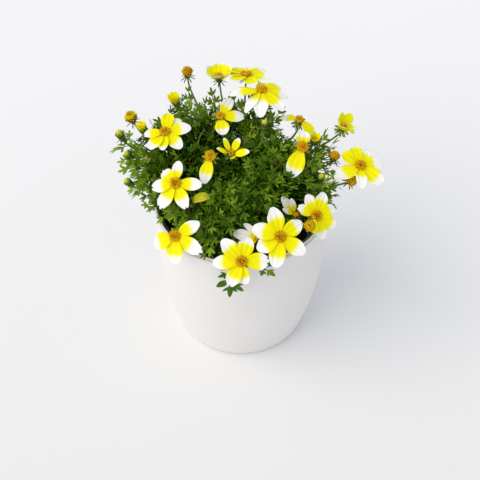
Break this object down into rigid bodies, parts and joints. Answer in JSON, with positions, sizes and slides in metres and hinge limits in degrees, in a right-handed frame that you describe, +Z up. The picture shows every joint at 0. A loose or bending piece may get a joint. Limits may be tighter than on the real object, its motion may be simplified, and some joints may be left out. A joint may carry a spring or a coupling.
{
  "type": "potted bidens",
  "caption": "Bushy bidens plant with feathery leaves and yellow and white daisy flowers, in a dark grower's pot inside a round white cachepot with a curved side.",
  "frame": {"origin": "centre of the cachepot's flat base", "axes": "+Z up, through the pot's axis; -Y towards the side that shows most flowers; +X to the right of that side"},
  "size_m": [0.2132, 0.1969, 0.2088],
  "materials": {
    "cachepot": "satin white, smooth",
    "nursery_pot": "dark grey, thin, slightly shiny at the lip",
    "soil": "moist peat, crumbly",
    "stem": "green, matt, faintly ribbed",
    "foliage": "mid to dark green, feathery, slightly waxy",
    "petals": "clear yellow with white tips, soft and grooved",
    "disc": "orange-brown florets with yellow dust",
    "bud": "green bracts round yellow to orange florets"
  },
  "bodies": {
    "root": {"cachepot": "cachepot", "nursery_pot": "nursery_pot", "soil": "soil", "stem_left_upper": "stem", "petals_left_upper": "petals", "disc_left_upper": "disc", "stem_left_middle": "stem", "petals_left_middle": "petals", "disc_left_middle": "disc", "stem_front_left": "stem", "petals_front_left": "petals", "disc_front_left": "disc", "stem_front_centre": "stem", "petals_front_centre": "petals", "disc_front_centre": "disc", "stem_front_right": "stem", "petals_front_right": "petals", "disc_front_right": "disc", "stem_rim_right": "stem", "petals_rim_right": "petals", "disc_rim_right": "disc", "stem_far_right": "stem", "petals_far_right": "petals", "disc_far_right": "disc", "stem_back_top": "stem", "petals_back_top": "petals", "disc_back_top": "disc", "stem_back_centre": "stem", "petals_back_centre": "petals", "disc_back_centre": "disc", "stem_back_cup": "stem", "petals_back_cup": "petals", "stem_inner_back": "stem", "petals_inner_back": "petals", "stem_inner_small": "stem", "petals_inner_small": "petals", "stem_inner_left": "stem", "petals_inner_left": "petals", "stem_inner_right": "stem", "petals_inner_right": "petals", "stem_back_right": "stem", "petals_back_right": "petals", "stem_right_cup": "stem", "petals_right_cup": "petals", "stem_behind_front": "stem", "petals_behind_front": "petals", "spent_rim": "bud", "narrow_bloom": "bud", "bud_back": "bud", "bud_back_left": "bud", "bud_left": "bud", "bud_far_left": "bud", "spent_right": "bud", "spent_far_right": "bud", "shoot_left": "foliage", "shoot_back_left": "foliage", "shoot_back": "foliage", "shoot_right": "foliage", "shoot_front": "foliage", "shoot_spill": "foliage"}
  },
  "joints": []
}
